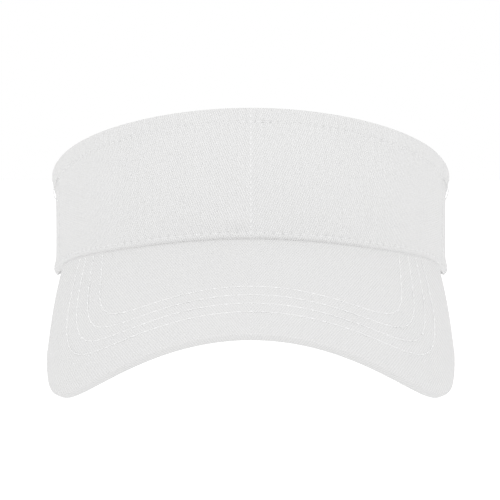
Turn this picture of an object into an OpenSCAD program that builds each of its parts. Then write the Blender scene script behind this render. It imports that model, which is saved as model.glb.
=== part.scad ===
// Three-panel cotton sun visor with a curved bill and a hook-and-loop closure at the back.
// Millimetres, +Z up. The origin is the centre of the head opening, level with the lowest edge of
// the band, the bill points to -Y and +X is on the right of someone looking at the bill.
// Angles round the band are measured at the head's centre: 0 at the middle of the front,
// positive towards +X, 180 at the middle of the back.

/* [Head band] */
// Width of the head opening, side to side
head_width = 170.6; // [150:0.1:180]
// Length of the head opening, front to back
head_length = 190.6; // [170:0.1:200]
// Height of the front panel at its middle
front_height = 55; // [45:1:60]
// How far the lower edge arches up at the middle of the front
front_rise = 19; // [14:1:22]
// How far the top of the front panel leans back
crown_lean = 7; // [0:0.5:10]
// Height of the band at the middle of the back
back_height = 28; // [26:1:32]
// Depth of the turned hem along the top of the band
hem_depth = 10; // [9:0.5:11]
// Height of the sweatband
sweatband_height = 30; // [24:1:34]

/* [Bill] */
// Length of the bill along its middle
bill_length = 67; // [60:0.5:75]
// Slope of the bill below the horizontal, along its middle
bill_slope = 32; // [20:1:36]
// Half width of the bill, measured along its bend
bill_half_width = 110; // [108:0.5:112]
// Distance of the first stitch row from the front edge of the bill
row_inset = 15.4; // [12:0.2:18]
// Distance between one stitch row and the next, at the front
row_pitch = 5.9; // [4:0.1:6.5]
// Distance of the first stitch row from the sides of the bill
row_side_inset = 21.4; // [16:0.1:24]
// Distance between one stitch row and the next, at the sides
row_side_pitch = 7.3; // [5:0.1:9]

/* [Closure] */
// Height of the closure strap
strap_height = 24; // [20:1:25]
// Angle round the band at which the strap leaves the right side panel
strap_root_angle = 155; // [152:1:158]
// Angle round the band at which the strap ends
strap_end_angle = 207; // [204:1:212]

/* [Hidden] */

twill = "white";
lining = "whitesmoke";
thread = "snow";

// Layers of the band, as distances outwards from the head
sweat_layer = [0, 0.9];
inner_layer = [1.0, 1.7];
shell_layer = [1.8, 2.7];
thread_on_shell = [2.74, 3.0];
label_layer = [-0.9, -0.3];
loop_layer = [2.8, 3.8];
loop_thread_layer = [3.84, 4.0];
hook_layer = [4.4, 5.4];
strap_layer = [5.5, 6.7];
strap_thread_layer = [6.74, 6.95];
strap_root_layer = [3.0, 4.2];

// Layers of the bill, as distances outwards from the middle of the board
top_cover_layer = [0.9, 1.6];
board_layer = [-0.8, 0.8];
under_cover_layer = [-0.9, -1.6];
bill_top = top_cover_layer[1];
gap = 0.1;

half_x = head_width / 2;
half_y = head_length / 2;
shell_out = shell_layer[1];
seam_angle = 75;
seam_gap_angle = 0.1;
side_top = 43.8;
top_arch_power = 0.93;
front_top_gain = front_rise + front_height - side_top;
strap_start = strap_root_angle + 0.6;
right_panel_end = strap_root_angle - 1;
left_panel_end = strap_root_angle + 10;
strap_rise_angle = 12;

// The bend of the bill: half an oval across, deeper towards the front edge and again behind the
// joint, where the wings wrap round the band
bend_half_width = 90;
bend_depth = 81;
bend_taper = 0.26;
bend_wrap = 0.00009;
bend_radius = 87.5;
bill_tip_u = -47;
bill_tip_taper = 11;
bill_tip_power = 1.25;
outline_powers = [3.85, 1.68];
row_powers = [3.7, 2.35];
row_power_gain = [0.4, 0.13];
bill_y = -(half_y + shell_out) + bill_top * sin(bill_slope);
bill_z = front_rise - gap - bill_top * cos(bill_slope);

arc_step = 3.2;
lean_levels = 4;

// ---------- shared rules ----------

function clamp(v, low, high) = max(low, min(high, v));
function mix(a, b, t) = a + (b - a) * t;
// The same place round the band as an angle from 0 at the front to 180 at the back
function folded(angle) = abs(angle) > 180 ? 360 - abs(angle) : abs(angle);
function steps(low, high, step) =
    let (n = max(1, ceil(abs(high - low) / step)))
    [for (i = [0 : n]) mix(low, high, i / n)];

// Bend angle of the bill at a distance s across it
function bend(s) = s / bend_radius * 180 / PI;
function bend_drop(w, u, t) =
    (bend_depth + bend_taper * u + bend_wrap * pow(max(0, -u), 3)) * (1 - cos(w)) - t * cos(w);

// A point of the bill: s across along the bend, u forwards along the slope, t outwards
function bill_point(s, u, t) =
    let (w = bend(s), drop = bend_drop(w, u, t))
    [
        (bend_half_width + t) * sin(w),
        bill_y - u * cos(bill_slope) + drop * sin(bill_slope),
        bill_z - u * sin(bill_slope) - drop * cos(bill_slope)
    ];

// How far back the bill reaches the oval that lies `out` outside the head, at bend angle w.
// Each round of Newton's method brings u closer.
function joint_u(w, t, out, u = 0, rounds = 5) =
    let (
        x = (bend_half_width + t) * sin(w),
        y = -(half_y + out) * sqrt(max(0, 1 - pow(x / (half_x + out), 2))),
        miss = bill_y - u * cos(bill_slope) + bend_drop(w, u, t) * sin(bill_slope) - y,
        deepening = (bend_taper - 3 * bend_wrap * pow(max(0, -u), 2)) * (1 - cos(w)),
        better = u - miss / (deepening * sin(bill_slope) - cos(bill_slope))
    )
    rounds == 1 ? better : joint_u(w, t, out, better, rounds - 1);

// Height of the bill's top surface under a place on the band
function joint_height(angle, out) =
    let (
        w = asin(clamp((half_x + out) * sin(angle) / (bend_half_width + bill_top), -1, 1)),
        u = joint_u(w, bill_top, out)
    )
    bill_z - u * sin(bill_slope) - bend_drop(w, u, bill_top) * cos(bill_slope) + gap;

joint_end_angle = 70;

// Lower edge of the band: on the bill at the front, then down to the level of the origin
function band_low(angle, out) =
    let (a = folded(angle), past = clamp((a - joint_end_angle) / (90 - joint_end_angle), 0, 1))
    joint_height(min(a, joint_end_angle), out) * pow(1 - past, 2);

// Upper edge of the band: an arch at the front, then a falling curve to the back
function band_top(angle) =
    let (a = folded(angle))
    a < 90
        ? side_top + front_top_gain * pow(cos(a), top_arch_power)
        : mix(back_height, side_top, pow(1 - (a - 90) / 90, 3));

function lean(angle, z) =
    let (up = clamp((z - front_rise) / front_height, 0, 1.2))
    crown_lean * up * up * pow(max(0, cos(angle)), 2);

// A point of the band: its angle, its distance outside the head and its height
function wall_point(angle, out, z) =
    let (o = out - lean(angle, z))
    [(half_x + o) * sin(angle), -(half_y + o) * cos(angle), z];

// Joins a list of loops into one closed solid. All loops have the same even number of points: up
// one face and back down the other, so that point j lies across from point n - 1 - j.
module skin(rings) {
    n = len(rings[0]);
    last = (len(rings) - 1) * n;
    sides = [
        for (i = [0 : n : last - n], j = [0 : n - 1])
            let (a = i + j, b = i + (j + 1) % n)
            each [[a, b, b + n], [a, b + n, a + n]]
    ];
    caps = [
        for (j = [0 : n / 2 - 2])
            let (k = n - 1 - j)
            each [
                [k, k - 1, j + 1], [k, j + 1, j],
                [last + j, last + j + 1, last + k - 1], [last + j, last + k - 1, last + k]
            ]
    ];
    polyhedron([for (r = rings) each r], concat(sides, caps), convexity = 6);
}

// Part of the band's wall between two angles. low and high give its edges at an angle, and
// levels is how many steps follow the lean of the crown.
module wall(from, to, layer, low, high, step = arc_step, levels = 1) {
    skin([
        for (a = steps(from, to, step))
            concat(
                [for (i = [0 : levels]) wall_point(a, layer[1], mix(low(a), high(a), i / levels))],
                [for (i = [levels : -1 : 0]) wall_point(a, layer[0], mix(low(a), high(a), i / levels))]
            )
    ]);
}

// A line of thread on the band. At an angle, height gives its height and proud how far the cloth
// under it stands out.
module wall_thread(from, to, layer, height, proud = function (a) 0, width = 0.6, step = 3) {
    skin([
        for (a = steps(from, to, step))
            let (z = height(a), inside = layer[0] + proud(a), outside = layer[1] + proud(a))
            [
                wall_point(a, outside, z - width / 2),
                wall_point(a, outside, z + width / 2),
                wall_point(a, inside, z + width / 2),
                wall_point(a, inside, z - width / 2)
            ]
    ]);
}

// ---------- band ----------

low_hem_depth = 8;

// The hems stand proud where the band turns from the front to the side
function top_bulge(angle) = 1.5 * pow(max(0, 1 - abs(folded(angle) - 86) / 30), 1.5);
function low_bulge(angle) =
    folded(angle) < seam_angle ? 0 : 0.7 * clamp((130 - folded(angle)) / 40, 0, 1);

// Outer wall of a panel, with a hem turned in along its top
module hemmed_wall(from, to, levels = 1) {
    turn_up = 1.5;
    slope = 2;
    chamfer = 0.2;
    face = shell_layer[1];
    back = shell_layer[0];
    skin([
        for (a = steps(from, to, arc_step))
            let (
                bottom = band_low(a, back),
                bottom_face = band_low(a, face),
                top = band_top(a),
                turn = top - hem_depth,
                hem_face = face + top_bulge(a)
            )
            concat(
                [
                    wall_point(a, face - chamfer, bottom_face),
                    wall_point(a, face + low_bulge(a), bottom_face + turn_up),
                    wall_point(a, face + low_bulge(a), bottom + low_hem_depth - slope)
                ],
                [
                    for (i = [0 : levels])
                        wall_point(a, face, mix(bottom + low_hem_depth, turn, i / levels))
                ],
                [
                    wall_point(a, hem_face, turn + slope),
                    wall_point(a, hem_face, top - 1),
                    wall_point(a, back, top),
                    wall_point(a, inner_layer[0], top - 1),
                    wall_point(a, inner_layer[0], turn),
                    wall_point(a, back - gap, turn)
                ],
                [
                    for (i = [levels : -1 : 0])
                        wall_point(a, back, mix(bottom + low_hem_depth, turn - gap, i / levels))
                ],
                [
                    wall_point(a, back, bottom + low_hem_depth - slope),
                    wall_point(a, back, bottom + turn_up),
                    wall_point(a, back, bottom)
                ]
            )
    ]);
}

module front_panel() {
    edge = seam_angle - seam_gap_angle;
    color(twill) hemmed_wall(-edge, edge, lean_levels);
}

module front_stiffener() {
    edge = seam_angle - 4;
    low = function (a) band_low(a, inner_layer[0]) + 1;
    high = function (a) band_top(a) - hem_depth - 0.5;
    color(lining) wall(-edge, edge, inner_layer, low, high, levels = lean_levels);
}

module left_side_panel() {
    color(twill) hemmed_wall(left_panel_end - 360, -seam_angle);
}

module right_side_panel() {
    color(twill) hemmed_wall(seam_angle, right_panel_end);
}

// Woven tape over the inside of a side seam, below the hem
module seam_tape(side) {
    reach = 3;
    low = function (a) band_low(a, inner_layer[0]) + 0.5;
    high = function (a) band_top(a) - hem_depth - 0.5;
    color(lining)
        wall(side * seam_angle - reach, side * seam_angle + reach, inner_layer, low, high, 1.5);
}

module sweatband() {
    edge = right_panel_end - 4;
    low = function (a) band_low(a, 0) + 0.6;
    high = function (a)
        min(sweatband_height + front_rise * pow(max(0, cos(a)), 2), band_top(a) - 5);
    color(lining) wall(-edge, edge, sweat_layer, low, high, levels = lean_levels);
}

// Blank folded label, sewn in at the lower edge of the sweatband
module care_label() {
    middle = -120;
    reach = 4;
    color(twill)
        wall(middle - reach, middle + reach, label_layer, function (a) 1, function (a) 21, 2);
}

// ---------- bill ----------

// How far forwards a squared oval reaches at a distance s across it
function oval_reach(s, half_width, length, powers) =
    length * pow(1 - pow(clamp(abs(s) / half_width, 0, 1), powers[0]), 1 / powers[1]);

// Front edge of the bill at a distance s across it, for an outline drawn in by `inset`
function outline_front(s, inset) =
    oval_reach(s, bill_half_width - inset, bill_length - inset, outline_powers);

// Rear edge of the bill's wing, from its widest place back to its tip
function outline_back(s, inset) =
    let (narrowed = max(0, bill_half_width - inset - abs(s)) / bill_tip_taper)
    bill_tip_u * pow(narrowed, 1 / bill_tip_power);

function bill_back(s, inset, out) =
    max(joint_u(bend(s), 0, out), outline_back(s, inset));

// Stations across the bill, closer together towards its wings
function bill_stations(inset, count) =
    [for (i = [-count : count]) (bill_half_width - inset - 0.05) * sin(90 * i / count)];

rim = 1.1;

// A sheet of the bill from its joint to an outline drawn in by `inset`. layer gives its inner and
// outer face, and lip how far its rim is carried down round the edge of the board.
module bill_sheet(layer, inset, out, lip = 0) {
    along = 6;
    way = layer[1] > layer[0] ? 1 : -1;
    skin([
        for (s = way * bill_stations(inset, 24))
            let (
                back = bill_back(s, inset, out),
                front = max(outline_front(s, inset), back + 0.05),
                shoulder = max(front - rim, mix(back, front, 0.6))
            )
            concat(
                [for (i = [0 : along]) bill_point(s, mix(back, front, i / along), layer[1])],
                lip == 0 ? [] : [
                    bill_point(s, front, lip),
                    bill_point(s, shoulder, lip)
                ],
                [
                    for (i = [along : -1 : 0])
                        bill_point(s, mix(back, lip == 0 ? front : shoulder, i / along), layer[0])
                ]
            )
    ]);
}

module bill_board() {
    color("gainsboro") bill_sheet(board_layer, 1.5, shell_out + 0.5);
}

module bill_top_cover() {
    color(twill) bill_sheet(top_cover_layer, 0, 0.4, under_cover_layer[1]);
}

module bill_under_cover() {
    color(twill) bill_sheet(under_cover_layer, rim + gap, 0.4);
}

// Place on a stitch row. q runs round the front from -1 to 1, and past that back along the wing.
function row_place(q, index) =
    let (
        half_width = bill_half_width - row_side_inset - row_side_pitch * index,
        length = bill_length - row_inset - row_pitch * index,
        s = half_width * pow(abs(sin(90 * clamp(q, -1, 1))), 0.8),
        past = max(0, abs(q) - 1),
        taper = bill_tip_taper * (1 - index / 3)
    )
    [
        sign(q) * (s - taper * pow(past, bill_tip_power)),
        past > 0
            ? bill_tip_u * past
            : oval_reach(s, half_width, length, row_powers + index * row_power_gain)
    ];

// index is 0 for the outermost row
module stitch_row(index) {
    width = 0.7;
    clear = 0.25;
    thick = 0.2;
    reach = 1.9;
    q_step = 0.045;
    places = [
        for (q = steps(-reach, reach, q_step))
            let (p = row_place(q, index))
            if (p[1] > joint_u(bend(p[0]), bill_top, shell_out) + 1) p
    ];
    near = bill_top + clear;
    far = near + thick;
    for (layer = [[near, far], [-far, -near]])
        color(thread)
            skin([
                for (i = [0 : len(places) - 1])
                    let (
                        p = places[i],
                        ahead = places[min(i + 1, len(places) - 1)],
                        behind = places[max(i - 1, 0)],
                        run = (ahead - behind) / norm(ahead - behind),
                        aside = width / 2 * [run[1], -run[0]]
                    )
                    [
                        bill_point(p[0] + aside[0], p[1] + aside[1], layer[0]),
                        bill_point(p[0] - aside[0], p[1] - aside[1], layer[0]),
                        bill_point(p[0] - aside[0], p[1] - aside[1], layer[1]),
                        bill_point(p[0] + aside[0], p[1] + aside[1], layer[1])
                    ]
            ]);
}

// ---------- stitching of the band ----------

front_stitch_edge = seam_angle - 1.5;

// How far below the top of the band its hem is stitched: further at the sides than at the front,
// and least at the back, where the loop patch needs the room
front_stitch_depth = 5.8;
side_stitch_depth = 8.2;
back_stitch_depth = 3.2;
function hem_stitch_depth(angle) =
    let (end_depth = cos(angle) > 0 ? front_stitch_depth : back_stitch_depth)
    mix(side_stitch_depth, end_depth, pow(cos(angle), 2));

// Line of stitches along the top hem
module hem_line(from, to) {
    color(thread)
        wall_thread(
            from, to, thread_on_shell,
            function (a) band_top(a) - hem_stitch_depth(a),
            function (a) top_bulge(a)
        );
}

// Line of stitches just above the lower edge of the band
module low_line(from, to) {
    rise = 2.8;
    color(thread)
        wall_thread(
            from, to, thread_on_shell,
            function (a) band_low(a, shell_out) + rise,
            function (a) low_bulge(a)
        );
}

module front_hem_stitching() {
    hem_line(-front_stitch_edge, front_stitch_edge);
}

module bill_joint_stitching() {
    low_line(-front_stitch_edge, front_stitch_edge);
}

// Upright line of stitches on the side panel, just behind the seam
module seam_stitching(side) {
    angle = side * (seam_angle + 1.2);
    reach = 0.2;
    color(thread)
        wall(
            angle - reach, angle + reach, thread_on_shell,
            function (a) band_low(a, shell_out) + low_hem_depth + 0.5,
            function (a) band_top(a) - hem_depth - 1,
            reach
        );
}

// Both hem lines of a side panel
module hem_stitching(from, to) {
    hem_line(from, to);
    low_line(from, to);
}

// ---------- closure ----------

strap_mid = back_height / 2;

// Half height of the strap: full, then round at its free end
function strap_half(angle) =
    let (round = 6, left = clamp((strap_end_angle - angle) / round, 0, 1))
    strap_height / 2 * (0.35 + 0.65 * sqrt(1 - pow(1 - left, 2)));

// How far the strap has risen from its root layer to its own layer
function strap_rise(angle) =
    let (t = clamp((angle - strap_start) / strap_rise_angle, 0, 1))
    t * t * (3 - 2 * t);

module closure_strap() {
    color(twill)
        skin([
            for (a = steps(strap_start, strap_end_angle, 1.6))
                let (
                    inside = mix(strap_root_layer[0], strap_layer[0], strap_rise(a)),
                    outside = mix(strap_root_layer[1], strap_layer[1], strap_rise(a)),
                    half = strap_half(a)
                )
                [
                    wall_point(a, outside, strap_mid - half),
                    wall_point(a, outside, strap_mid + half),
                    wall_point(a, inside, strap_mid + half),
                    wall_point(a, inside, strap_mid - half)
                ]
        ]);
}

module patch(from, to, layer, height) {
    color(lining)
        wall(
            from, to, layer,
            function (a) strap_mid - height / 2,
            function (a) strap_mid + height / 2,
            2
        );
}

hook_from = strap_root_angle + 17;
hook_to = strap_end_angle - 6;
hook_height = strap_height - 6;
loop_from = left_panel_end + 3;
loop_to = strap_end_angle + 15;
loop_height = hook_height + 1;

// A box of four lines of thread between two angles
module thread_box(from, to, layer, height) {
    inset = 1.5;
    reach = 0.2;
    for (side = [-1, 1])
        wall_thread(from, to, layer, function (a) strap_mid + side * (height / 2 - inset));
    for (end = [from - 2 * reach - gap, to + gap])
        wall(
            end, end + 2 * reach, layer,
            function (a) strap_mid - height / 2 + inset,
            function (a) strap_mid + height / 2 - inset,
            reach
        );
}

module strap_stitching() {
    color(thread) thread_box(hook_from + 1, hook_to - 1, strap_thread_layer, hook_height);
}

module loop_patch_stitching() {
    color(thread) thread_box(loop_from + 1, loop_to - 1, loop_thread_layer, loop_height);
}

// Box of stitches that fastens the strap's root to the end of the right side panel
module strap_tack() {
    color(thread)
        thread_box(strap_root_angle - 6, strap_root_angle - 2, thread_on_shell, strap_height);
}

front_panel();
front_stiffener();
left_side_panel();
right_side_panel();
seam_tape(-1);  // left_seam_tape
seam_tape(1);  // right_seam_tape
sweatband();
care_label();
bill_board();
bill_top_cover();
bill_under_cover();
stitch_row(0);  // bill_stitch_row_1
stitch_row(1);  // bill_stitch_row_2
stitch_row(2);  // bill_stitch_row_3
stitch_row(3);  // bill_stitch_row_4
front_hem_stitching();
bill_joint_stitching();
seam_stitching(-1);  // left_seam_stitching
seam_stitching(1);  // right_seam_stitching
hem_stitching(left_panel_end - 360 + 2, -seam_angle - 1);  // left_hem_stitching
hem_stitching(seam_angle + 1, strap_root_angle - 8);  // right_hem_stitching
closure_strap();
patch(hook_from, hook_to, hook_layer, hook_height);  // hook_patch
patch(loop_from, loop_to, loop_layer, loop_height);  // loop_patch
strap_stitching();
loop_patch_stitching();
strap_tack();
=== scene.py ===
"""Looks of a three-panel cotton sun visor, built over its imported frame.

Every cloth piece is a closed mesh lofted from the same curves as the CAD solid that it replaces.
It has rolled edges and is drawn in where a line of stitches crosses it. Every line of stitches is
a thread that dips into the cloth at its needle holes. Sizes are in millimetres and angles in
degrees until a mesh is made. Angles round the band run from 0 at the front to 180 at the back.
"""

import math

import bpy
import numpy as np
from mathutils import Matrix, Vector, kdtree


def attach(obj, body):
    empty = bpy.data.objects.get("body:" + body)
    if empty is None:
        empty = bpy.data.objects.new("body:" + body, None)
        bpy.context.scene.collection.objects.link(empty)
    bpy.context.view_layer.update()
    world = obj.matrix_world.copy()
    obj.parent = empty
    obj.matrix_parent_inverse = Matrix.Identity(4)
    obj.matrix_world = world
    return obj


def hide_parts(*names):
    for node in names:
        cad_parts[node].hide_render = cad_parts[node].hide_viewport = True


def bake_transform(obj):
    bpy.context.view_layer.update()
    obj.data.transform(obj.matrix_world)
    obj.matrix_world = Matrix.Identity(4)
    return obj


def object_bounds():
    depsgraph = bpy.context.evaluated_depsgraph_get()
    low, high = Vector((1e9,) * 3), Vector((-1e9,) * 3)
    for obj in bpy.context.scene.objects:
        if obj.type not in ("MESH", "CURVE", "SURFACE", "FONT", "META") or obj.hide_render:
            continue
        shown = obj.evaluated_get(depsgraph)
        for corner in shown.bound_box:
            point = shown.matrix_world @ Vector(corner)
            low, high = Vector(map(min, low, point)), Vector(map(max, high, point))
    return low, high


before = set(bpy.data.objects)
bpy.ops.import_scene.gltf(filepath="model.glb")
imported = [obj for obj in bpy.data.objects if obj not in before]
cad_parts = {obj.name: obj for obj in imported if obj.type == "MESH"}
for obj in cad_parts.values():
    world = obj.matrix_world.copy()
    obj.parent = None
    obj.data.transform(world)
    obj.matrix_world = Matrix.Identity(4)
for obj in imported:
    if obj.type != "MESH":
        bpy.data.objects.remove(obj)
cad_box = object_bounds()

MM = 0.001

# ---------- sizes, as in the CAD source ----------

HALF_X, HALF_Y = 85.3, 95.3
FRONT_HEIGHT, FRONT_RISE, CROWN_LEAN = 55, 19, 7
SIDE_TOP, BACK_TOP, TOP_ARCH_POWER = 43.8, 28, 0.93
SEAM_ANGLE = 75
RIGHT_END, LEFT_END = 154, 165
HEM_DEPTH = 10
TAPE_REACH = 3.4
FRONT_STITCH_DEPTH, SIDE_STITCH_DEPTH, BACK_STITCH_DEPTH = 5.8, 8.2, 3.2
SWEATBAND_HEIGHT = 30
INNER_FACE, SHELL_BACK, SHELL_FACE = 1.0, 1.8, 2.7
LINING_LAYER, SWEATBAND_LAYER, LABEL_LAYER = (1.0, 1.7), (0.0, 0.9), (-0.9, -0.4)

BILL_LENGTH, BILL_HALF_WIDTH, BILL_SLOPE = 67, 110, 32
BEND_HALF_WIDTH, BEND_DEPTH, BEND_TAPER, BEND_WRAP, BEND_RADIUS = 90, 81, 0.26, 0.00009, 87.5
BILL_TIP_U, BILL_TIP_TAPER, BILL_TIP_POWER = -47, 11, 1.25
OUTLINE_POWERS = (3.85, 1.68)
BILL_TOP, BOARD_FACE, BILL_SEAT = 1.6, 0.9, 0.4
ROW_INSET, ROW_PITCH, ROW_SIDE_INSET, ROW_SIDE_PITCH = 15.4, 5.9, 21.4, 7.3
ROW_POWERS, ROW_POWER_GAIN = (3.7, 2.35), (0.4, 0.13)
JOINT_END_ANGLE = 70
GAP = 0.1

STRAP_HEIGHT, STRAP_MID = 24, 14
STRAP_START, STRAP_END, STRAP_RISE_ANGLE = 155.6, 207, 12
STRAP_ROOT_LAYER, STRAP_LAYER = (3.0, 4.2), (5.5, 6.7)
TACK_FROM, TACK_TO, TACK_FACE = 149, 153, 4.0
HOOK_FROM, HOOK_TO, HOOK_HEIGHT, HOOK_LAYER = 172, 201, 18, (4.4, 5.4)
LOOP_FROM, LOOP_TO, LOOP_HEIGHT, LOOP_LAYER = 168, 222, 19, (2.8, 3.8)

# ---------- curves shared with the CAD source ----------


def sin(angle):
    return np.sin(np.radians(angle))


def cos(angle):
    return np.cos(np.radians(angle))


def mix(a, b, t):
    return a + (b - a) * t


def clamp(v, low=0.0, high=1.0):
    return np.clip(v, low, high)


def hill(distance, width):
    """A smooth rise of 1 that falls away over `width`."""
    return np.exp(-((distance / width) ** 2))


def folded(angle):
    """The same place round the band as an angle from 0 at the front to 180 at the back."""
    a = np.abs(angle)
    return np.where(a > 180, 360 - a, a)


BILL_Y = -(HALF_Y + SHELL_FACE) + BILL_TOP * sin(BILL_SLOPE)
BILL_Z = FRONT_RISE - GAP - BILL_TOP * cos(BILL_SLOPE)


def bend(s):
    return np.degrees(s / BEND_RADIUS)


def bend_drop(w, u, t):
    depth = BEND_DEPTH + BEND_TAPER * u + BEND_WRAP * np.maximum(0, -u) ** 3
    return depth * (1 - cos(w)) - t * cos(w)


def bill_point(s, u, t):
    """A point of the bill: s across along the bend, u forwards along the slope, t outwards."""
    w = bend(s)
    drop = bend_drop(w, u, t)
    x = (BEND_HALF_WIDTH + t) * sin(w)
    y = BILL_Y - u * cos(BILL_SLOPE) + drop * sin(BILL_SLOPE)
    z = BILL_Z - u * sin(BILL_SLOPE) - drop * cos(BILL_SLOPE)
    return np.stack(np.broadcast_arrays(x, y, z), -1)


def bill_normal(s):
    w = bend(s)
    return np.stack([sin(w), -cos(w) * sin(BILL_SLOPE), cos(w) * cos(BILL_SLOPE)], -1)


def joint_u(w, t, out):
    """How far back the bill reaches the oval that lies `out` outside the head."""
    x = (BEND_HALF_WIDTH + t) * sin(w)
    y = -(HALF_Y + out) * np.sqrt(np.maximum(0, 1 - (x / (HALF_X + out)) ** 2))
    u = 0 * x
    for _ in range(5):
        miss = BILL_Y - u * cos(BILL_SLOPE) + bend_drop(w, u, t) * sin(BILL_SLOPE) - y
        deepening = (BEND_TAPER - 3 * BEND_WRAP * np.maximum(0, -u) ** 2) * (1 - cos(w))
        u = u - miss / (deepening * sin(BILL_SLOPE) - cos(BILL_SLOPE))
    return u


def joint_height(angle, out):
    """Height of the bill's top surface under a place on the band."""
    ratio = clamp((HALF_X + out) * sin(angle) / (BEND_HALF_WIDTH + BILL_TOP), -1, 1)
    w = np.degrees(np.arcsin(ratio))
    u = joint_u(w, BILL_TOP, out)
    return BILL_Z - u * sin(BILL_SLOPE) - bend_drop(w, u, BILL_TOP) * cos(BILL_SLOPE) + GAP


def band_low(angle, out):
    a = folded(angle)
    past = clamp((a - JOINT_END_ANGLE) / (90 - JOINT_END_ANGLE))
    return joint_height(np.minimum(a, JOINT_END_ANGLE), out) * (1 - past) ** 2


def band_top(angle):
    a = folded(angle)
    arch = SIDE_TOP + (FRONT_RISE + FRONT_HEIGHT - SIDE_TOP) * np.maximum(cos(a), 0) ** TOP_ARCH_POWER
    fall = mix(BACK_TOP, SIDE_TOP, clamp(1 - (a - 90) / 90) ** 3)
    return np.where(a < 90, arch, fall)


def wall_point(angle, out, z):
    """A point of the band: its angle, its distance outside the head and its height."""
    up = clamp((z - FRONT_RISE) / FRONT_HEIGHT, 0, 1.2)
    o = out - CROWN_LEAN * up**2 * np.maximum(0, cos(angle)) ** 2
    x = (HALF_X + o) * sin(angle)
    y = -(HALF_Y + o) * cos(angle)
    return np.stack(np.broadcast_arrays(x, y, z), -1)


def wall_normal(angle):
    across = np.stack([HALF_Y * sin(angle), -HALF_X * cos(angle), 0 * angle], -1)
    return across / np.linalg.norm(across, axis=-1, keepdims=True)


def smooth(t):
    """From 0 to 1 as t does, with a soft start and end."""
    t = clamp(t)
    return t * t * (3 - 2 * t)


def top_bulge(angle):
    """How far the hemmed top edge of the band stands out at the sides."""
    swell, middle, spread = 1.5, 86, 30
    return swell * clamp(1 - np.abs(folded(angle) - middle) / spread) ** 1.5


def low_swell(angle, h):
    """How far the lower edge of the band stands out at a height h above it."""
    front_swell, front_middle, front_spread = 0.25, 2.1, 1.0
    side_swell, side_middle, side_spread = 0.85, 3.6, 2.6
    a = folded(angle)
    side = smooth((a - SEAM_ANGLE) / 8) * clamp((130 - a) / 40)
    roll = front_swell * hill(h - front_middle, front_spread)
    return roll + side_swell * side * hill(h - side_middle, side_spread)


def oval_reach(s, half_width, length, powers):
    return length * (1 - clamp(np.abs(s) / half_width) ** powers[0]) ** (1 / powers[1])


def outline_front(s, inset):
    return oval_reach(s, BILL_HALF_WIDTH - inset, BILL_LENGTH - inset, OUTLINE_POWERS)


def outline_back(s, inset):
    narrowed = np.maximum(0, BILL_HALF_WIDTH - inset - np.abs(s)) / BILL_TIP_TAPER
    return BILL_TIP_U * narrowed ** (1 / BILL_TIP_POWER)


def bill_back(s, inset, out):
    return np.maximum(joint_u(bend(s), 0, out), outline_back(s, inset))


def row_place(q, index):
    """Place on a stitch row of the bill. q runs round the front from -1 to 1, and past that back."""
    half_width = BILL_HALF_WIDTH - ROW_SIDE_INSET - ROW_SIDE_PITCH * index
    length = BILL_LENGTH - ROW_INSET - ROW_PITCH * index
    powers = [p + index * gain for p, gain in zip(ROW_POWERS, ROW_POWER_GAIN)]
    s = half_width * np.abs(sin(90 * clamp(q, -1, 1))) ** 0.8
    past = np.maximum(0, np.abs(q) - 1)
    taper = BILL_TIP_TAPER * (1 - index / 3)
    u = np.where(past > 0, BILL_TIP_U * past, oval_reach(s, half_width, length, powers))
    return np.sign(q) * (s - taper * past**BILL_TIP_POWER), u


def strap_half(angle):
    """Half height of the strap: full, then round at its free end."""
    rounding, tip_share = 6, 0.35
    left = clamp((STRAP_END - angle) / rounding)
    return STRAP_HEIGHT / 2 * mix(tip_share, 1, np.sqrt(1 - (1 - left) ** 2))


def strap_inside(angle):
    """How far outside the head the strap's inner face lies."""
    risen = smooth((angle - STRAP_START) / STRAP_RISE_ANGLE)
    return mix(STRAP_ROOT_LAYER[0], STRAP_LAYER[0], risen)


def drift(x, y, size):
    """Slow unevenness from -1 to 1 over lengths of about `size`, the same on every run."""
    turns = ((1.0, 0.3, 0.9), (-0.6, 0.8, 2.3), (0.45, 1.1, 4.1), (1.3, -0.7, 5.2))
    return sum(np.sin((a * x + b * y) * 2 * np.pi / size + c) for a, b, c in turns) / 4


# ---------- lines of stitches ----------

SAMPLES_PER_STITCH = 10
HEM_PITCH, JOINT_PITCH, ROW_STITCH_PITCH, BOX_PITCH = 3.3, 3.8, 5.0, 2.6
JOINT_RISE = 2.8
GROOVE_WIDTH, HOLE_WIDTH = 0.9, 0.6


class Stitches:
    """A line of thread on a cloth: its path over the surface and its needle holes."""

    def __init__(self, points, normals, pitch):
        steps = np.linalg.norm(np.diff(points, axis=0), axis=1)
        run = np.concatenate([[0], np.cumsum(steps)])
        self.count = max(1, round(run[-1] / pitch))
        along = np.linspace(0, run[-1], self.count * SAMPLES_PER_STITCH + 1)
        self.points = np.stack([np.interp(along, run, points[:, k]) for k in range(3)], -1)
        self.normals = np.stack([np.interp(along, run, normals[:, k]) for k in range(3)], -1)
        self.holes = self.points[::SAMPLES_PER_STITCH]


def band_stitches(start, end, out, height, pitch, step=0.4):
    """Stitches round the band. out and height give the line's place at an angle."""
    a = np.linspace(start, end, round(abs(end - start) / step) + 1)
    return Stitches(wall_point(a, out(a), height(a)), wall_normal(a), pitch)


def upright_stitches(angle, low, high, out, pitch):
    z = np.linspace(low, high, 40)
    a = np.full_like(z, angle)
    return Stitches(wall_point(a, out, z), wall_normal(a), pitch)


def stitch_box(start, end, out, height, inset=1.5):
    """Four lines of stitches round a patch between two angles."""
    half = height / 2 - inset
    low, high = STRAP_MID - half, STRAP_MID + half
    lines = [
        band_stitches(start, end, lambda a: out + 0 * a, lambda a, z=z: z + 0 * a, BOX_PITCH)
        for z in (low, high)
    ]
    return lines + [upright_stitches(a, low, high, out, BOX_PITCH) for a in (start, end)]


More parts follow.
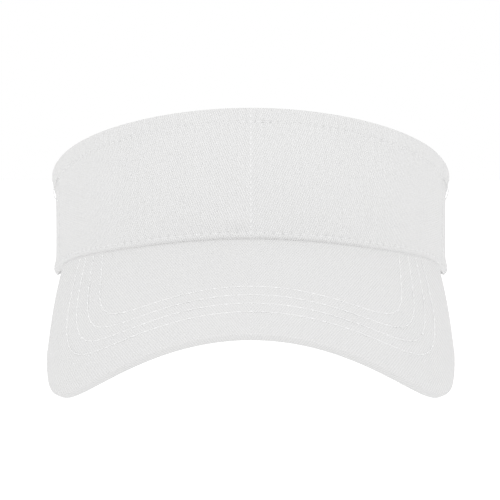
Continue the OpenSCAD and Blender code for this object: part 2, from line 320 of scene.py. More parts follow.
def row_stitches(index, side):
    """A stitch row of the bill, on its top (side 1) or its underside (side -1)."""
    reach, samples = 1.9, 1521
    s, u = row_place(np.linspace(-reach, reach, samples), index)
    kept = u > joint_u(bend(s), BILL_TOP, SHELL_FACE) + 1
    s, u = s[kept], u[kept]
    return Stitches(bill_point(s, u, side * BILL_TOP), side * bill_normal(s), ROW_STITCH_PITCH)


def hem_height(angle):
    end_depth = np.where(cos(angle) > 0, FRONT_STITCH_DEPTH, BACK_STITCH_DEPTH)
    return band_top(angle) - mix(SIDE_STITCH_DEPTH, end_depth, cos(angle) ** 2)


def low_height(angle):
    return band_low(angle, SHELL_FACE) + JOINT_RISE


def hem_out(angle):
    return SHELL_FACE + top_bulge(angle)


def low_out(angle):
    return SHELL_FACE + low_swell(angle, JOINT_RISE)


FRONT_EDGE = SEAM_ANGLE - 0.1
FRONT_STITCH_END = SEAM_ANGLE - 1.5
SIDE_SPANS = {
    "left": (LEFT_END - 360, -SEAM_ANGLE),
    "right": (SEAM_ANGLE, RIGHT_END),
}
SIDE_STITCH_SPANS = {
    "left": (LEFT_END - 360 + 2, -SEAM_ANGLE - 1),
    "right": (SEAM_ANGLE + 1, RIGHT_END - 7),
}
SEAM_STITCH_ANGLES = {"left": -SEAM_ANGLE - 1.2, "right": SEAM_ANGLE + 1.2}

lines = {
    "front_hem": [
        band_stitches(-FRONT_STITCH_END, FRONT_STITCH_END, hem_out, hem_height, HEM_PITCH)
    ],
    "joint": [band_stitches(-FRONT_STITCH_END, FRONT_STITCH_END, low_out, low_height, JOINT_PITCH)],
    "strap": stitch_box(HOOK_FROM + 1, HOOK_TO - 1, STRAP_LAYER[1], HOOK_HEIGHT),
    "loop": stitch_box(LOOP_FROM + 1, LOOP_TO - 1, LOOP_LAYER[1], LOOP_HEIGHT),
    "tack": stitch_box(TACK_FROM, TACK_TO, TACK_FACE, STRAP_HEIGHT),
}
for side, (start, end) in SIDE_STITCH_SPANS.items():
    lines[side + "_hem"] = [
        band_stitches(start, end, hem_out, hem_height, HEM_PITCH),
        band_stitches(start, end, low_out, low_height, JOINT_PITCH),
    ]
    at = SEAM_STITCH_ANGLES[side]
    lines[side + "_seam"] = [
        upright_stitches(
            at, band_low(at, SHELL_FACE) + 8.5, band_top(at) - HEM_DEPTH - 1, SHELL_FACE, HEM_PITCH
        )
    ]
for row in range(4):
    lines[f"row_{row + 1}"] = [row_stitches(row, 1), row_stitches(row, -1)]


def drawn_in(places, stitches, groove, dimple):
    """How far the cloth at each place is pulled in by the lines of stitches near it."""

    def nearest(targets):
        tree = kdtree.KDTree(len(targets))
        for i, p in enumerate(targets):
            tree.insert(p, i)
        tree.balance()
        flat = [tree.find(p)[2] for p in places.reshape(-1, 3)]
        return np.array(flat).reshape(places.shape[:-1])

    along = nearest(np.concatenate([line.points for line in stitches]))
    holes = nearest(np.concatenate([line.holes for line in stitches]))
    return groove * hill(along, GROOVE_WIDTH) + dimple * hill(holes, HOLE_WIDTH)


# ---------- meshes ----------

SHARP_ANGLE = 50
THREAD_SIDES, FIBRE_SIDES = 7, 4


def mesh_piece(name, points, faces, uvs, material):
    """A smooth mesh from points in millimetres, with one UV pair for each corner of each face."""
    mesh = bpy.data.meshes.new(name)
    mesh.from_pydata((points * MM).tolist(), [], faces)
    layer = mesh.uv_layers.new(name="weave")
    layer.data.foreach_set("uv", np.asarray(uvs, np.float32).ravel())
    mesh.polygons.foreach_set("use_smooth", np.ones(len(mesh.polygons), bool))
    mesh.set_sharp_from_angle(angle=math.radians(SHARP_ANGLE))
    mesh.materials.append(material)
    piece = bpy.data.objects.new(name, mesh)
    bpy.context.scene.collection.objects.link(piece)
    return piece


def lofted(rings, across, start, way=1):
    """Points, faces and UVs of one closed solid through loops of points.

    across is each loop's place along the cloth, and start the cloth's other coordinate at a
    loop's first point, from where it grows (way 1) or falls (way -1) along the loop.
    """
    m, n = rings.shape[:2]
    closed = np.concatenate([rings, rings[:, :1]], 1)
    run = np.cumsum(np.linalg.norm(np.diff(closed, axis=1), axis=2), 1)
    v = start[:, None] + way * np.concatenate([np.zeros((m, 1)), run], 1)
    uv = np.stack([np.broadcast_to(across[:, None], v.shape), v], -1)
    i, j = np.meshgrid(np.arange(m - 1), np.arange(n), indexing="ij")
    i, j = i.ravel(), j.ravel()
    corners = [(i, j), (i, j + 1), (i + 1, j + 1), (i + 1, j)]
    corner = rings[:-1, :-1]
    faced = np.cross(rings[1:, :-1] - corner, rings[:-1, 1:] - corner)
    inside_out = np.einsum("ijk,ijk->", corner, faced) > 0
    if inside_out:
        corners.reverse()
    quads = np.stack([a * n + b % n for a, b in corners], -1)
    quad_uv = np.stack([uv[a, b] for a, b in corners], 1).reshape(-1, 2)
    first, last = list(range(n)), list(range((m - 1) * n, m * n))
    (last if inside_out else first).reverse()
    cap_uv = np.concatenate([uv[0, :n], uv[-1, :n]])
    return rings.reshape(-1, 3), [*quads.tolist(), first, last], np.concatenate([quad_uv, cap_uv])


def joined(parts):
    """Points, faces and UVs of several solids as one."""
    points, faces, uvs, base = [], [], [], 0
    for p, f, uv in parts:
        points.append(p)
        faces += [[i + base for i in face] for face in f]
        uvs.append(uv)
        base += len(p)
    return np.concatenate(points), faces, np.concatenate(uvs)


def circles(line, facing, sides):
    """Unit circles square to a line of points, and the sideways direction at each point."""
    ahead = np.gradient(line, axis=0)
    ahead /= np.linalg.norm(ahead, axis=1, keepdims=True)
    aside = np.cross(ahead, facing)
    aside /= np.linalg.norm(aside, axis=1, keepdims=True)
    up = np.cross(aside, ahead)
    turn = np.linspace(0, 2 * np.pi, sides, endpoint=False)
    ring = aside[:, None] * np.cos(turn)[None, :, None] + up[:, None] * np.sin(turn)[None, :, None]
    return ring, aside


def thread_tube(line, radius=0.16, lift=-0.11, dip=0.45, knot=0.0):
    """A thread that arches over the cloth between its needle holes and dips into them.

    knot is how much thicker it is where its loop shows at a hole, a little to one side.
    """
    k = np.arange(len(line.points))
    arch = np.abs(np.sin(np.pi * k / SAMPLES_PER_STITCH)) ** 0.4
    centre = line.points + line.normals * (mix(-dip, lift, arch))[:, None]
    ring, aside = circles(centre, line.normals, THREAD_SIDES)
    from_hole = np.minimum(k % SAMPLES_PER_STITCH, -k % SAMPLES_PER_STITCH)
    loops = knot * clamp(1 - from_hole / 2) * (0.75 + 0.25 * np.sin(k))
    centre = centre + aside * (radius * loops)[:, None]
    rings = centre[:, None] + (radius * (1 + loops))[:, None, None] * ring
    run = np.concatenate([[0], np.cumsum(np.linalg.norm(np.diff(centre, axis=0), axis=1))])
    return lofted(rings, run, np.zeros(len(k)))


def finish_piece(piece, body, nodes):
    """Attach a piece to what it rides on and hide the CAD nodes that it stands for."""
    if body:
        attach(piece, body)
    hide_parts(*nodes)


def thread_piece(name, stitches, node, material, body="visor", **form):
    piece = mesh_piece(name, *joined([thread_tube(s, **form) for s in stitches]), material)
    finish_piece(piece, body, [node])


# ---------- materials ----------


class Material:
    """A Principled material with short calls for the nodes that feed it."""

    def __init__(self, name, roughness=0.9, sheen=0.0, specular=0.3):
        self.material = bpy.data.materials.new(name)
        self.material.use_nodes = True
        self.nodes = self.material.node_tree.nodes
        self.links = self.material.node_tree.links
        self.shader = self.nodes["Principled BSDF"]
        self.shader.inputs["Roughness"].default_value = roughness
        self.shader.inputs["Sheen Weight"].default_value = sheen
        self.shader.inputs["Sheen Roughness"].default_value = 0.5
        self.shader.inputs["Specular IOR Level"].default_value = specular
        uv = self.nodes.new("ShaderNodeUVMap")
        uv.uv_map = "weave"
        split = self.nodes.new("ShaderNodeSeparateXYZ")
        self.links.new(uv.outputs[0], split.inputs[0])
        self.uv, self.u, self.v = uv.outputs[0], split.outputs[0], split.outputs[1]

    def calc(self, operation, *values):
        node = self.nodes.new("ShaderNodeMath")
        node.operation = operation
        for socket, value in zip(node.inputs, values):
            if isinstance(value, (int, float)):
                socket.default_value = value
            else:
                self.links.new(value, socket)
        return node.outputs[0]

    def waves(self, place, period):
        """Waves from 0 to 1 with that period."""
        turn = self.calc("MULTIPLY", place, 2 * math.pi / period)
        return self.calc("MULTIPLY_ADD", self.calc("SINE", turn), 0.5, 0.5)

    def noise(self, scale, detail, stretch=(1, 1, 1)):
        spread = self.nodes.new("ShaderNodeMapping")
        spread.inputs["Scale"].default_value = stretch
        self.links.new(self.uv, spread.inputs["Vector"])
        node = self.nodes.new("ShaderNodeTexNoise")
        node.inputs["Scale"].default_value = scale
        node.inputs["Detail"].default_value = detail
        self.links.new(spread.outputs[0], node.inputs["Vector"])
        return node.outputs["Fac"]

    def colour(self, dark, light, amount):
        blend = self.nodes.new("ShaderNodeMix")
        blend.data_type = "RGBA"
        blend.inputs["A"].default_value = (*dark, 1)
        blend.inputs["B"].default_value = (*light, 1)
        self.links.new(amount, blend.inputs["Factor"])
        self.links.new(blend.outputs["Result"], self.shader.inputs["Base Color"])

    def relief(self, height, depth):
        """Bump from a height of 0 to 1, with depth in millimetres."""
        bump = self.nodes.new("ShaderNodeBump")
        bump.inputs["Strength"].default_value = 1.0
        bump.inputs["Distance"].default_value = depth * MM
        self.links.new(height, bump.inputs["Height"])
        self.links.new(bump.outputs[0], self.shader.inputs["Normal"])


def grey(level, warmth=0.0):
    return (level * (1 + warmth), level, level * (1 - warmth))


def twill_cloth(name, level, dark, depth):
    """Cotton twill: steep diagonal ribs, each a row of short yarn floats.

    level is how light its high places are, and dark the share of it left between the ribs.
    """
    rib_period, rib_angle, yarn_period = 0.95, 66, 0.8
    cloth = Material(name, roughness=0.95, sheen=0.12, specular=0.2)
    lean, rise = math.cos(math.radians(rib_angle)), math.sin(math.radians(rib_angle))
    rib_place = cloth.calc(
        "SUBTRACT", cloth.calc("MULTIPLY", cloth.v, lean), cloth.calc("MULTIPLY", cloth.u, rise)
    )
    float_place = cloth.calc(
        "ADD", cloth.calc("MULTIPLY", cloth.u, lean), cloth.calc("MULTIPLY", cloth.v, rise)
    )
    rib_number = cloth.calc("FLOOR", cloth.calc("DIVIDE", rib_place, rib_period))
    shifted = cloth.calc("MULTIPLY_ADD", rib_number, 0.37 * yarn_period, float_place)
    rib = cloth.waves(rib_place, rib_period)
    floats = cloth.waves(shifted, yarn_period)
    slub = cloth.noise(1.1, 4, (1, 0.25, 1))
    patch = cloth.noise(0.05, 2)
    weave = cloth.calc("MULTIPLY", rib, cloth.calc("MULTIPLY_ADD", floats, 0.4, 0.6))
    uneven = cloth.calc("MULTIPLY_ADD", slub, 0.5, cloth.calc("MULTIPLY", patch, 0.2))
    shade = cloth.calc("ADD", cloth.calc("MULTIPLY", weave, 0.75), cloth.calc("MULTIPLY", uneven, 0.4))
    cloth.colour(grey(level * dark, 0.002), grey(level, 0.002), shade)
    cloth.relief(cloth.calc("MULTIPLY_ADD", slub, 0.2, weave), depth)
    return cloth.material


def thread_cloth(name, level):
    """Twisted sewing thread: fine ridges that run round it at a slant."""
    ply_period, lean = 0.42, 0.9
    thread = Material(name, roughness=0.55, sheen=0.1, specular=0.4)
    slant = thread.calc("ADD", thread.u, thread.calc("MULTIPLY", thread.v, lean))
    ply = thread.waves(slant, ply_period)
    thread.colour(grey(level * 0.93), grey(level), ply)
    thread.relief(ply, 0.05)
    return thread.material


def crossed_cloth(name, level, period, depth, warmth=0.0, sheen=0.1, roughness=0.9):
    """Plain crossed weave, knit or mesh: two sets of yarns with soft unevenness."""
    cloth = Material(name, roughness=roughness, sheen=sheen, specular=0.25)
    cross = cloth.calc(
        "MULTIPLY", cloth.waves(cloth.u, period[0]), cloth.waves(cloth.v, period[1])
    )
    fuzz = cloth.noise(2.2, 4)
    shade = cloth.calc("ADD", cloth.calc("MULTIPLY", cross, 0.5), cloth.calc("MULTIPLY", fuzz, 0.6))
    cloth.colour(grey(level * 0.82, warmth), grey(level, warmth), shade)
    cloth.relief(cloth.calc("MULTIPLY_ADD", fuzz, 0.6, cross), depth)
    return cloth.material


# band_twill_painted_lighter and bill_twill are the same cotton twill. The band's higher level is
# painted light: it makes the band panels and the strap render lighter than the bill.
band_twill_painted_lighter = twill_cloth("band_twill_painted_lighter", level=0.88, dark=0.78, depth=0.24)
bill_twill = twill_cloth("bill_twill", level=0.783, dark=0.85, depth=0.14)
row_thread = thread_cloth("row_thread", 0.96)
band_thread = thread_cloth("band_thread", 0.86)
sweat_cloth = crossed_cloth("sweatband_knit", 0.84, (1.3, 0.9), 0.25, 0.004, sheen=0.3)
buckram = crossed_cloth("buckram_mesh", 0.78, (1.1, 1.1), 0.3, 0.02)
tape_cloth = crossed_cloth("woven_tape", 0.84, (0.6, 1.4), 0.12)
label_cloth = crossed_cloth("label_satin", 0.86, (0.35, 0.5), 0.03, roughness=0.45)
hook_plastic = crossed_cloth("hook_nylon", 0.84, (1.2, 1.2), 0.08, roughness=0.4)
loop_pile = crossed_cloth("loop_pile", 0.86, (0.9, 0.9), 0.3, sheen=0.4)


def board_surface():
    """Grey board with a fine pressed grain, in object coordinates because it is a CAD node."""
    board = bpy.data.materials.new("bill_board_plastic")
    board.use_nodes = True
    nodes, links = board.node_tree.nodes, board.node_tree.links
    place = nodes.new("ShaderNodeTexCoord")
    grain = nodes.new("ShaderNodeTexNoise")
    grain.inputs["Scale"].default_value = 900
    links.new(place.outputs["Object"], grain.inputs["Vector"])
    shades = nodes.new("ShaderNodeValToRGB")
    shades.color_ramp.elements[0].color = (*grey(0.6), 1)
    shades.color_ramp.elements[1].color = (*grey(0.72), 1)
    links.new(grain.outputs["Fac"], shades.inputs["Fac"])
    shader = nodes["Principled BSDF"]
    shader.inputs["Roughness"].default_value = 0.6
    links.new(shades.outputs[0], shader.inputs["Base Color"])
    return board


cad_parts["bill_board"].data.materials.clear()
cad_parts["bill_board"].data.materials.append(board_surface())

# ---------- band ----------


def arc_lengths(angles):
    """Length of cloth from the middle of the front to each angle."""
    fine = np.linspace(-240, 240, 4801)
    points = wall_point(fine, SHELL_FACE, 0 * fine)
    run = np.concatenate([[0], np.cumsum(np.linalg.norm(np.diff(points, axis=0), axis=1))])
    return np.interp(angles, fine, run) - np.interp(0, fine, run)


def spans(*stops):
    """Places from the first stop to the last. Each stop is (array, how many steps lead to it)."""
    columns = [stops[0][0][:, None]]
    for (before, _), (after, count) in zip(stops, stops[1:]):
        share = np.arange(1, count + 1) / count
        columns.append(before[:, None] + (after - before)[:, None] * share)
    return np.concatenate(columns, 1)


# The rolled lower edge of a panel reaches up by ROLL and turns in by TUCK. Its top edge is half a
# round of height TOP_ROUND, and the hem stands out by HEM_SWELL.
ROLL, TUCK, TOP_ROUND, HEM_SWELL = 1.15, 0.7, 0.85, 0.12
WAVE_DEPTH, WAVE_SIZE = 0.16, 38
SEAM_DIP, SEAM_WIDTH = 0.15, 0.7
CREASE_DEPTH, CREASE_RUN, CREASE_HEIGHT, CREASE_LENGTH, CREASE_WIDTH = 0.5, -7, 26.5, 8, 3.2


def panel(name, start, end, stitches, node, step=0.5):
    """An outer panel of the band: rolled lower edge, wall, and a hem turned in along the top."""
    a = np.linspace(start, end, round((end - start) / step) + 1)
    col = a[:, None]
    front = folded(a) < SEAM_ANGLE
    bottom, top = band_low(a, SHELL_FACE), band_top(a)
    hem_line, turn = hem_height(a), top - HEM_DEPTH
    hem_rise = 2.5 + 4.5 * smooth((folded(col) - SEAM_ANGLE) / 6)

    z = spans(
        (bottom, 0), (bottom + 2 * ROLL, 12), (bottom + 6, 8), (hem_line - 2, 40),
        (hem_line + 1.5, 10), (top - TOP_ROUND, 10),
    )
    h = z - bottom[:, None]
    hem = smooth((z - turn[:, None]) / hem_rise)
    run = arc_lengths(col)
    out = SHELL_FACE + low_swell(col, h) + (top_bulge(col) + HEM_SWELL) * hem
    out -= TUCK * clamp(1 - h / ROLL) ** 1.4
    out += WAVE_DEPTH * drift(run, z, WAVE_SIZE) * clamp(h / 8)
    out -= SEAM_DIP * hill(np.abs(folded(col) - SEAM_ANGLE), SEAM_WIDTH)
    crease = hill(run - CREASE_RUN, CREASE_LENGTH) * hill(z - CREASE_HEIGHT, CREASE_WIDTH)
    out += np.where(front[:, None], CREASE_DEPTH * crease, 0)
    out -= drawn_in(wall_point(col, out, z), stitches, groove=0.05, dimple=0.5)

    turns = np.linspace(0, 180, 9)[1:]
    round_out = (out[:, -1:] + INNER_FACE) / 2 + (out[:, -1:] - INNER_FACE) / 2 * cos(turns)
    round_z = (top - TOP_ROUND)[:, None] + TOP_ROUND * sin(turns)
    inner_z = spans((top - TOP_ROUND, 0), (turn, 9))[:, 1:]
    back_z = spans((turn, 0), (bottom + 1, 16))
    ring_out = np.concatenate(
        [out, round_out, np.full_like(inner_z, INNER_FACE), np.full_like(back_z, SHELL_BACK)], 1
    )
    ring_z = np.concatenate([z, round_z, inner_z, back_z], 1)
    points = wall_point(col, ring_out, ring_z)
    cloth = mesh_piece(name, *lofted(points, np.abs(arc_lengths(a)), bottom), band_twill_painted_lighter)
    arc_lengths(a)
    finish_piece(cloth, "visor", [node])


def wall_sheet(name, start, end, layer, low, high, material, node,
               step=1.0, rows=16, puff=0.0, sag=0.0):
    """A closed strip of cloth on the band with rounded edges, puffed out on its inner face."""
    a = np.linspace(start, end, max(2, round((end - start) / step) + 1))
    middle, half = sum(layer) / 2, (layer[1] - layer[0]) / 2
    bottom, top = low(a) + half, high(a) - half
    face = spans((bottom, 0), (top, rows))
    share = (face - bottom[:, None]) / (top - bottom)[:, None]
    swell = puff * np.sin(np.pi * share) ** 0.5
    ripple = sag * drift(arc_lengths(a)[:, None], face, 26) * np.sin(np.pi * share)
    turns = np.linspace(0, 180, 5)[1:-1]
    over_out = middle + half * cos(turns) + 0 * a[:, None]
    over_z = top[:, None] + half * sin(turns)
    under_out = middle - half * cos(turns) + 0 * a[:, None]
    under_z = bottom[:, None] - half * sin(turns)
    inner = (layer[0] - swell + ripple)[:, ::-1]
    outer = layer[1] + ripple
    out = np.concatenate([outer, over_out, inner, under_out], 1)
    z = np.concatenate([face, over_z, face[:, ::-1], under_z], 1)
    points = wall_point(a[:, None], out, z)
    cloth = mesh_piece(name, *lofted(points, np.abs(arc_lengths(a)), bottom), material)
    arc_lengths(a)
    finish_piece(cloth, "visor", [node])


panel(
    "front_panel_cloth", -FRONT_EDGE, FRONT_EDGE, lines["front_hem"] + lines["joint"],
    "front_panel", step=0.25,
)
for side, (start, end) in SIDE_SPANS.items():
    panel(
        side + "_panel_cloth", start, end, lines[side + "_hem"] + lines[side + "_seam"],
        side + "_side_panel",
    )

wall_sheet(
    "stiffener_cloth", -SEAM_ANGLE + 4, SEAM_ANGLE - 4, LINING_LAYER,
    lambda a: band_low(a, INNER_FACE) + 1, lambda a: band_top(a) - HEM_DEPTH - 0.5,
    buckram, node="front_stiffener",
)
for side, middle in (("left", -SEAM_ANGLE), ("right", SEAM_ANGLE)):
    wall_sheet(
        side + "_tape_cloth", middle - TAPE_REACH, middle + TAPE_REACH, LINING_LAYER,
        lambda a: band_low(a, INNER_FACE) + 0.5, lambda a: band_top(a) - HEM_DEPTH - 0.5,
        tape_cloth, node=side + "_seam_tape",
        step=0.5,
    )


def sweatband_top(angle):
    return np.minimum(
        SWEATBAND_HEIGHT + FRONT_RISE * np.maximum(0, cos(angle)) ** 2, band_top(angle) - 5
    )


wall_sheet(
    "sweatband_cloth", 4 - RIGHT_END, RIGHT_END - 4, SWEATBAND_LAYER,
    lambda a: band_low(a, 0) + 0.6, sweatband_top,
    sweat_cloth, node="sweatband",
    rows=26, puff=0.7, sag=0.12,
)
wall_sheet(
    "care_label_cloth", -124, -116, LABEL_LAYER,
    lambda a: 1 + 0 * a, lambda a: 21 + 0 * a,
    label_cloth, node="care_label",
    step=0.5, puff=0.5,
)

# ---------- bill ----------

RIM = 1.1
EDGE_ROUNDING, EDGE_CROWN = 0.4, 0.12
FOLD_RISE, FOLD_INSET, FOLD_WIDTH = 0.12, 1, 0.5
BILL_WAVE = 0.1


def bill_stations(inset, count):
    """Places across the bill, closer together towards its tips and just short of them."""
    i = np.arange(-count, count + 1)
    return (BILL_HALF_WIDTH - inset - 0.05) * sin(90 * i / count)


def corner(u, t, radius, first, last):
    """Points round a corner of the bill's edge, from one direction to another."""
    turns = np.linspace(first, last, 4)
    return u[:, None] + radius * cos(turns), t + radius * sin(turns) + 0 * u[:, None]


def bill_cover():
    """The top cover, which wraps the edge of the board down to the under cover."""
    s = bill_stations(0, 210)
    back = bill_back(s, 0, BILL_SEAT)
    front = np.maximum(outline_front(s, 0), back + 0.5)
    soft = np.minimum(EDGE_ROUNDING, (front - back) / 4)
    rim = np.minimum(RIM, (front - back) / 3)
    u = spans((back + soft, 0), (front - soft, 110))
    face = BILL_TOP + 0 * u
    inside = clamp(np.minimum(u - back[:, None], front[:, None] - u) / 4)
    face += BILL_WAVE * drift(s[:, None], u, 31) * inside
    face += FOLD_RISE * hill(front[:, None] - FOLD_INSET - u, FOLD_WIDTH)
    stitches = [lines[f"row_{row + 1}"][0] for row in range(4)]
    face -= drawn_in(bill_point(s[:, None], u, face), stitches, groove=0.02, dimple=0.03)
    ring = [(u, face)]
    ring.append(corner(front - soft, BILL_TOP - soft[:, None], soft[:, None], 72, 0))
    edge = np.linspace(1, -1, 5) * (BILL_TOP - soft - 0.1)[:, None]
    ring.append((front[:, None] + EDGE_CROWN * cos(edge / BILL_TOP * 90), edge))
    ring.append(corner(front - soft, soft[:, None] - BILL_TOP, soft[:, None], 0, -90))
    ring.append(((front - rim)[:, None], -BILL_TOP + 0 * s[:, None]))
    inner = spans((front - rim, 0), (back + rim, 20))
    ring.append((inner, BOARD_FACE + 0 * inner))
    ring.append(((back + rim)[:, None], -BILL_TOP + 0 * s[:, None]))
    ring.append(corner(back + soft, soft[:, None] - BILL_TOP, soft[:, None], -90, -180))
    ring.append(corner(back + soft, BILL_TOP - soft[:, None], soft[:, None], 180, 108))
    u_ring = np.concatenate([r[0] for r in ring], 1)
    t_ring = np.concatenate([r[1] for r in ring], 1)
    points = bill_point(s[:, None], u_ring, t_ring)
    cloth = mesh_piece("bill_top_cloth", *lofted(points, np.abs(s), -back, way=-1), bill_twill)
    finish_piece(cloth, "visor", ["bill_top_cover"])


def bill_underside():
    """The under cover, set in from the edge by the top cover's rim."""
    inset = RIM + GAP
    s = bill_stations(inset, 180)
    back = bill_back(s, inset, BILL_SEAT) + inset
    front = np.maximum(outline_front(s, inset), back + 0.5)
    u = spans((back, 0), (front, 90))
    face = -BILL_TOP + 0 * u
    inside = clamp(np.minimum(u - back[:, None], front[:, None] - u) / 4)
    face -= BILL_WAVE * drift(s[:, None], u, 27) * inside
    stitches = [lines[f"row_{row + 1}"][1] for row in range(4)]
    face += drawn_in(bill_point(s[:, None], u, face), stitches, groove=0.02, dimple=0.03)
    inner = spans((front, 0), (back, 18))
    u_ring = np.concatenate([u, inner], 1)
    t_ring = np.concatenate([face, -BOARD_FACE + 0 * inner], 1)
    points = bill_point(s[:, None], u_ring, t_ring)
    cloth = mesh_piece("bill_under_cloth", *lofted(points, np.abs(s), -back, way=-1), bill_twill)
    finish_piece(cloth, "visor", ["bill_under_cover"])


bill_cover()
bill_underside()

# ---------- closure ----------

TACKED_FROM, TACKED_RAMP = 148, 6
HINGE_FROM, HINGE_TO = 153.4, 157.6
HOOK_BASE, HOOK_TIP = 4.8, 4.2
LOOP_BASE, LOOP_TIP = 3.4, 3.8
FIBRE_RADIUS, FIBRE_REACH, FIBRE_INSET = 0.07, 0.32, 1.5


def strap():
    """The closure strap, from where it is sewn to the right panel to its round free end."""
    a = np.linspace(TACKED_FROM, STRAP_END, 140)
    col = a[:, None]
    thickness = STRAP_LAYER[1] - STRAP_LAYER[0]
    settled = clamp((a - TACKED_FROM) / TACKED_RAMP)
    tacked_inside = mix(SHELL_FACE + 0.15, STRAP_ROOT_LAYER[0], settled)
    inside = np.where(a > STRAP_START, strap_inside(a), tacked_inside)
    half = strap_half(a) - thickness / 2
    low, high = STRAP_MID - half, STRAP_MID + half
    z = spans((low, 0), (high, 44))
    face = (inside + thickness)[:, None] + 0 * z
    face += 0.12 * drift(arc_lengths(col), z, 22)
    stitches = lines["strap"] + lines["tack"]
    face -= drawn_in(wall_point(col, face, z), stitches, groove=0.08, dimple=0.2)
    turns = np.linspace(0, 180, 6)[1:-1]
    middle = (inside + thickness / 2)[:, None]
    back_z = z[:, ::-4]
    out = np.concatenate([
        face, middle + thickness / 2 * cos(turns),
        inside[:, None] + 0 * back_z, middle - thickness / 2 * cos(turns),
    ], 1)
    ring_z = np.concatenate([
        z, high[:, None] + thickness / 2 * sin(turns),
        back_z, low[:, None] - thickness / 2 * sin(turns),
    ], 1)
    points = wall_point(col, out, ring_z)
    cloth = mesh_piece("strap_cloth", *lofted(points, np.abs(arc_lengths(a)), low), band_twill_painted_lighter)
    arc_lengths(a)
    finish_piece(cloth, None, ["closure_strap"])
    return cloth


strap_cloth = strap()
hinge_line = wall_point(np.array([HINGE_FROM, HINGE_TO]), sum(STRAP_ROOT_LAYER) / 2, STRAP_MID)
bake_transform(strap_cloth)


def bristles(start, end, height, base, tip, pitch, curl, seed):
    """Short curled fibres that stand on a patch of tape, from its base towards tip."""
    rng = np.random.default_rng(seed)
    half = height / 2 - 1
    per_degree = arc_lengths(np.array([1.0]))[0]
    columns = round((end - start) * per_degree / pitch)
    rows = round(2 * half / pitch)
    a, z = np.meshgrid(np.linspace(start, end, columns), np.linspace(-half, half, rows))
    spread = 0.35 * pitch
    a = a.ravel() + rng.uniform(-spread, spread, a.size) / per_degree
    z = STRAP_MID + z.ravel() + rng.uniform(-spread, spread, z.size)
    heading = rng.uniform(0, 2 * np.pi, a.size)
    bend_over = np.linspace(0, curl, 6)
    lift = np.clip(np.sin(bend_over), 0, 1)
    sideways = FIBRE_REACH * (1 - np.cos(bend_over))
    parts = []
    for place, level, turn in zip(a, z, heading):
        at = place + sideways * math.cos(turn) / per_degree
        height_at = level + sideways * math.sin(turn)
        parts.append(fibre(wall_point(at, mix(base, tip, lift), height_at)))
    return parts


def fibre(line):
    """A thin tube along a line of points."""
    ring, _ = circles(line, (0.3, 0.2, 0.93), FIBRE_SIDES)
    rings = line[:, None] + FIBRE_RADIUS * ring
    return lofted(rings, np.arange(len(line)) * 0.1, np.zeros(len(line)))


def tape_patch(name, start, end, layer, height, material, fibres, body, node):
    """A patch of hook or loop tape: its woven base, and the fibres that stand on it."""
    columns, rows = 60, 20
    a = np.linspace(start, end, columns)
    low, high = STRAP_MID - height / 2, STRAP_MID + height / 2
    z = np.linspace(low, high, rows)
    out = np.concatenate([np.full(rows, layer[1]), np.full(rows, layer[0])])
    ring_z = np.concatenate([z, z[::-1]])
    points = wall_point(a[:, None], out, ring_z + 0 * a[:, None])
    run = arc_lengths(a)
    base = mesh_piece(name, *lofted(points, np.abs(run), np.full(columns, low)), material)
    finish_piece(base, body, [node])
    finish_piece(mesh_piece(name + "_fibres", *joined(fibres), material), body, [node])


tape_patch(
    "hook_tape", HOOK_FROM, HOOK_TO, (HOOK_BASE, HOOK_LAYER[1]), HOOK_HEIGHT, hook_plastic,
    bristles(
        HOOK_FROM + FIBRE_INSET, HOOK_TO - FIBRE_INSET, HOOK_HEIGHT, HOOK_BASE, HOOK_TIP,
        pitch=1.5, curl=2.6, seed=3,
    ),
    body="strap", node="hook_patch",
)
tape_patch(
    "loop_tape", LOOP_FROM, LOOP_TO, (LOOP_LAYER[0], LOOP_BASE), LOOP_HEIGHT, loop_pile,
    bristles(
        LOOP_FROM + FIBRE_INSET, LOOP_TO - FIBRE_INSET, LOOP_HEIGHT, LOOP_BASE - 0.05, LOOP_TIP,
        pitch=1.1, curl=3.1, seed=5,
    ),
    body="visor", node="loop_patch",
)

# ---------- threads ----------

for row in range(4):
    thread_piece(
        f"row_{row + 1}_thread", lines[f"row_{row + 1}"], f"bill_stitch_row_{row + 1}",
        row_thread, radius=0.11, lift=0.05, dip=-0.08, knot=2.3,
    )
thread_piece("front_hem_thread", lines["front_hem"], "front_hem_stitching", band_thread)
thread_piece("joint_thread", lines["joint"], "bill_joint_stitching", band_thread)
for side in ("left", "right"):
    for line in ("hem", "seam"):
        piece_name = f"{side}_{line}"
        thread_piece(
            piece_name + "_thread", lines[piece_name], piece_name + "_stitching", band_thread
        )
thread_piece("strap_thread", lines["strap"], "strap_stitching", band_thread, body="strap")
thread_piece("loop_thread", lines["loop"], "loop_patch_stitching", band_thread)
thread_piece("tack_thread", lines["tack"], "strap_tack", band_thread)

# ---------- stage, light and camera ----------

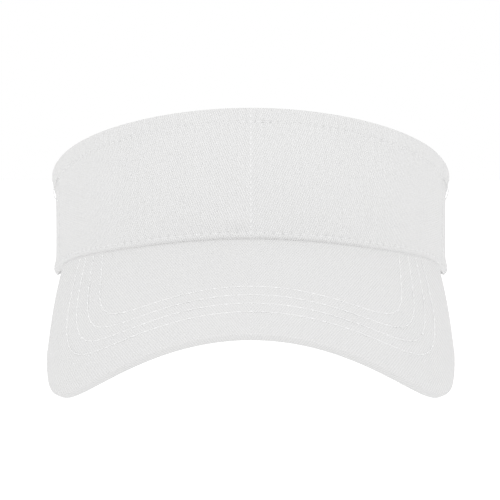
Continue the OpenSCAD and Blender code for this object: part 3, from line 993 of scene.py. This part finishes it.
FLOOR_SIZE, FLOOR_GAP, FLOOR_GLOW = 20, 0.002, 0.93
LAMP_SIZE, LAMP_POWER, LAMP_ASIDE, LAMP_FORWARD, LAMP_HEIGHT = 1.0, 2.1, 0.85, 0.85, 0.95
AIM = Vector((-0.00034, 0, 0.0113))
DISTANCE, ELEVATION = 1.2, math.radians(2)
SENSOR_WIDTH, FOCAL_LENGTH = 36, 190.5

world = bpy.data.worlds.new("studio")
bpy.context.scene.world = world
world.use_nodes = True
sky_inputs = world.node_tree.nodes["Background"].inputs
sky_inputs["Color"].default_value = (1, 1, 1, 1)
sky_inputs["Strength"].default_value = 1.0

floor_place = (0, 0, cad_box[0].z - FLOOR_GAP)
bpy.ops.mesh.primitive_plane_add(size=FLOOR_SIZE, location=floor_place)
floor = bpy.context.object
floor.name = "floor"
paper = bpy.data.materials.new("pale_floor")
paper.use_nodes = True
paper_inputs = paper.node_tree.nodes["Principled BSDF"].inputs
paper_inputs["Base Color"].default_value = (*grey(0.12), 1)
paper_inputs["Emission Color"].default_value = (1, 1, 1, 1)
paper_inputs["Emission Strength"].default_value = FLOOR_GLOW
floor.data.materials.append(paper)

for name, across in (("left_lamp", -LAMP_ASIDE), ("right_lamp", LAMP_ASIDE)):
    lamp_data = bpy.data.lights.new(name, "AREA")
    lamp_data.shape = "DISK"
    lamp_data.size = LAMP_SIZE
    lamp_data.energy = LAMP_POWER
    lamp = bpy.data.objects.new(name, lamp_data)
    lamp.location = (across, -LAMP_FORWARD, LAMP_HEIGHT)
    lamp.rotation_euler = (-lamp.location).to_track_quat("-Z", "Y").to_euler()
    bpy.context.scene.collection.objects.link(lamp)

camera_data = bpy.data.cameras.new("camera")
camera_data.sensor_width = SENSOR_WIDTH
camera_data.lens = FOCAL_LENGTH
camera = bpy.data.objects.new("camera", camera_data)
back = Vector((0, -math.cos(ELEVATION), math.sin(ELEVATION)))
camera.location = AIM + back * DISTANCE
camera.rotation_euler = (-back).to_track_quat("-Z", "Y").to_euler()
bpy.context.scene.collection.objects.link(camera)
bpy.context.scene.camera = camera
bpy.context.scene.view_settings.view_transform = "Standard"

bpy.context.view_layer.update()
